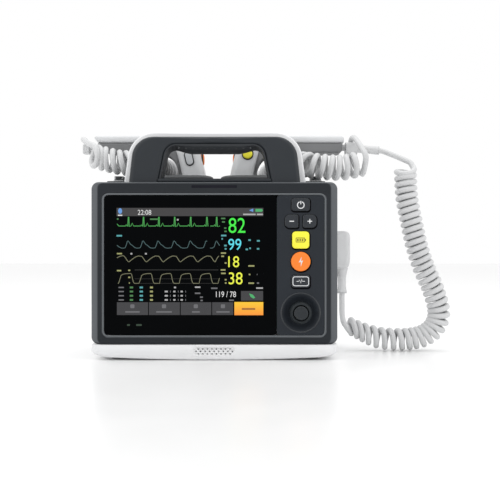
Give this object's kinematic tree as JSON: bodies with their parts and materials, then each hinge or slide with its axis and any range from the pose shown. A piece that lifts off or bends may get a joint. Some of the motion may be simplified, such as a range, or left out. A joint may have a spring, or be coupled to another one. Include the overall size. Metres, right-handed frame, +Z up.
{
  "type": "defibrillator",
  "caption": "Portable defibrillator monitor with a carry handle, colour screen, keypad and knob, a pair of hand paddles on its top tray and curly cords.",
  "frame": {"origin": "on the surface that the unit stands on, under the middle of the object without its cords", "axes": "+X right as seen from the front, +Y to the rear, +Z up"},
  "size_m": [0.4476, 0.2, 0.2621],
  "materials": {
    "white_shell": "satin",
    "dark_shell": "satin",
    "keypad": "satin",
    "tray_grey": "satin",
    "display_glass": "gloss",
    "screen": "gloss",
    "lamp_lens": "gloss",
    "soft_grip": "matte",
    "black_rubber": "matte",
    "key_dark": "satin",
    "key_yellow": "satin",
    "key_orange": "satin",
    "knob_dark": "satin",
    "paddle_grey": "satin",
    "cord_grey": "satin",
    "steel": "brushed",
    "board": "satin",
    "capacitor": "satin",
    "port_light": "satin",
    "paper": "matte"
  },
  "bodies": {
    "housing": {"base_housing": "white_shell", "rear_housing": "white_shell", "front_bezel": "dark_shell", "display_glass": "display_glass", "lcd_module": "screen", "keypad_panel": "keypad", "alarm_lamp_lens": "lamp_lens", "handle_front": "dark_shell", "handle_rear": "white_shell", "grip_insert": "soft_grip", "rubber_feet": "black_rubber", "housing_screws": "steel", "main_board": "board", "control_board": "board", "power_board": "board", "hv_capacitor": "capacitor", "speaker": "black_rubber", "encoder_body": "knob_dark", "paddle_tray": "tray_grey", "tray_contacts": "steel", "side_ports": "port_light", "therapy_socket": "tray_grey", "recorder_frame": "tray_grey", "ac_inlet": "black_rubber", "ground_stud": "steel", "plug": "cord_grey", "main_lead_low": "cord_grey", "main_coil": "cord_grey"},
    "power_button": {"power_key": "key_dark"},
    "minus_button": {"minus_key": "key_dark"},
    "plus_button": {"plus_key": "key_dark"},
    "charge_button": {"charge_key": "key_yellow"},
    "shock_button": {"shock_key": "key_orange"},
    "mode_button": {"mode_key": "key_dark"},
    "encoder": {"encoder_plunger": "steel"},
    "knob": {"control_knob": "knob_dark"},
    "paddle_left": {"paddle_left_shell": "paddle_grey", "paddle_left_grip": "soft_grip", "paddle_left_base": "tray_grey", "paddle_left_electrode": "steel", "left_gland": "cord_grey", "link_lead_left": "cord_grey", "link_coil_left": "cord_grey"},
    "paddle_left_select": {"paddle_left_select_key": "port_light"},
    "paddle_left_shock": {"paddle_left_shock_key": "key_orange"},
    "paddle_right": {"paddle_right_shell": "paddle_grey", "paddle_right_grip": "soft_grip", "paddle_right_base": "tray_grey", "paddle_right_electrode": "steel", "right_gland": "cord_grey", "link_lead_right": "cord_grey", "link_coil_right": "cord_grey", "main_lead_high": "cord_grey"},
    "paddle_right_charge": {"paddle_right_charge_key": "key_yellow"},
    "paddle_right_shock": {"paddle_right_shock_key": "key_orange"},
    "battery": {"battery_pack": "dark_shell"},
    "battery_catch": {"battery_latch": "port_light"},
    "recorder_lid": {"recorder_door": "port_light"},
    "chart_paper": {"paper_roll": "paper"},
    "connector_cover": {"port_cover": "black_rubber"}
  },
  "joints": [
    {"name": "power_press", "type": "slide", "parent": "housing", "child": "power_button", "axis": [0, 1, 0], "range_m": [0, 0.0015], "stiffness_N_per_m": 600, "springref_m": -0.001},
    {"name": "minus_press", "type": "slide", "parent": "housing", "child": "minus_button", "axis": [0, 1, 0], "range_m": [0, 0.0015], "stiffness_N_per_m": 600, "springref_m": -0.001},
    {"name": "plus_press", "type": "slide", "parent": "housing", "child": "plus_button", "axis": [0, 1, 0], "range_m": [0, 0.0015], "stiffness_N_per_m": 600, "springref_m": -0.001},
    {"name": "charge_press", "type": "slide", "parent": "housing", "child": "charge_button", "axis": [0, 1, 0], "range_m": [0, 0.0015], "stiffness_N_per_m": 600, "springref_m": -0.001},
    {"name": "shock_press", "type": "slide", "parent": "housing", "child": "shock_button", "axis": [0, 1, 0], "range_m": [0, 0.0015], "stiffness_N_per_m": 600, "springref_m": -0.001},
    {"name": "mode_press", "type": "slide", "parent": "housing", "child": "mode_button", "axis": [0, 1, 0], "range_m": [0, 0.0015], "stiffness_N_per_m": 600, "springref_m": -0.001},
    {"name": "knob_press", "type": "slide", "parent": "housing", "child": "encoder", "axis": [0, 1, 0], "range_m": [0, 0.001], "stiffness_N_per_m": 600, "springref_m": -0.001},
    {"name": "knob_turn", "type": "hinge", "parent": "encoder", "child": "knob", "pos_m": [0.0952, -0.08, 0.0526], "axis": [0, 1, 0], "continuous": true},
    {"name": "paddle_left_lift", "type": "slide", "parent": "housing", "child": "paddle_left", "axis": [0, 0, 1], "range_m": [0, 0.12]},
    {"name": "paddle_left_select_press", "type": "slide", "parent": "paddle_left", "child": "paddle_left_select", "axis": [0, 1, 0], "range_m": [0, 0.0012], "stiffness_N_per_m": 600, "springref_m": -0.001},
    {"name": "paddle_left_shock_press", "type": "slide", "parent": "paddle_left", "child": "paddle_left_shock", "axis": [-1, 0, 0], "range_m": [0, 0.0015], "stiffness_N_per_m": 600, "springref_m": -0.001},
    {"name": "paddle_right_lift", "type": "slide", "parent": "housing", "child": "paddle_right", "axis": [0, 0, 1], "range_m": [0, 0.12]},
    {"name": "paddle_right_charge_press", "type": "slide", "parent": "paddle_right", "child": "paddle_right_charge", "axis": [0, 1, 0], "range_m": [0, 0.0012], "stiffness_N_per_m": 600, "springref_m": -0.001},
    {"name": "paddle_right_shock_press", "type": "slide", "parent": "paddle_right", "child": "paddle_right_shock", "axis": [1, 0, 0], "range_m": [0, 0.0012], "stiffness_N_per_m": 600, "springref_m": -0.001},
    {"name": "battery_slide", "type": "slide", "parent": "housing", "child": "battery", "axis": [0, 1, 0], "range_m": [0, 0.105]},
    {"name": "battery_catch_press", "type": "slide", "parent": "battery", "child": "battery_catch", "axis": [0, 0, -1], "range_m": [0, 0.003], "stiffness_N_per_m": 600, "springref_m": -0.001},
    {"name": "recorder_door_open", "type": "hinge", "parent": "housing", "child": "recorder_lid", "pos_m": [-0.1375, 0, 0.03], "axis": [0, -1, 0], "range_deg": [0, 92]},
    {"name": "paper_turn", "type": "hinge", "parent": "housing", "child": "chart_paper", "pos_m": [-0.107, 0, 0.062], "axis": [0, 1, 0], "continuous": true},
    {"name": "connector_cover_open", "type": "hinge", "parent": "housing", "child": "connector_cover", "pos_m": [0.08, 0.0819, 0.1726], "axis": [1, 0, 0], "range_deg": [0, 100]}
  ]
}
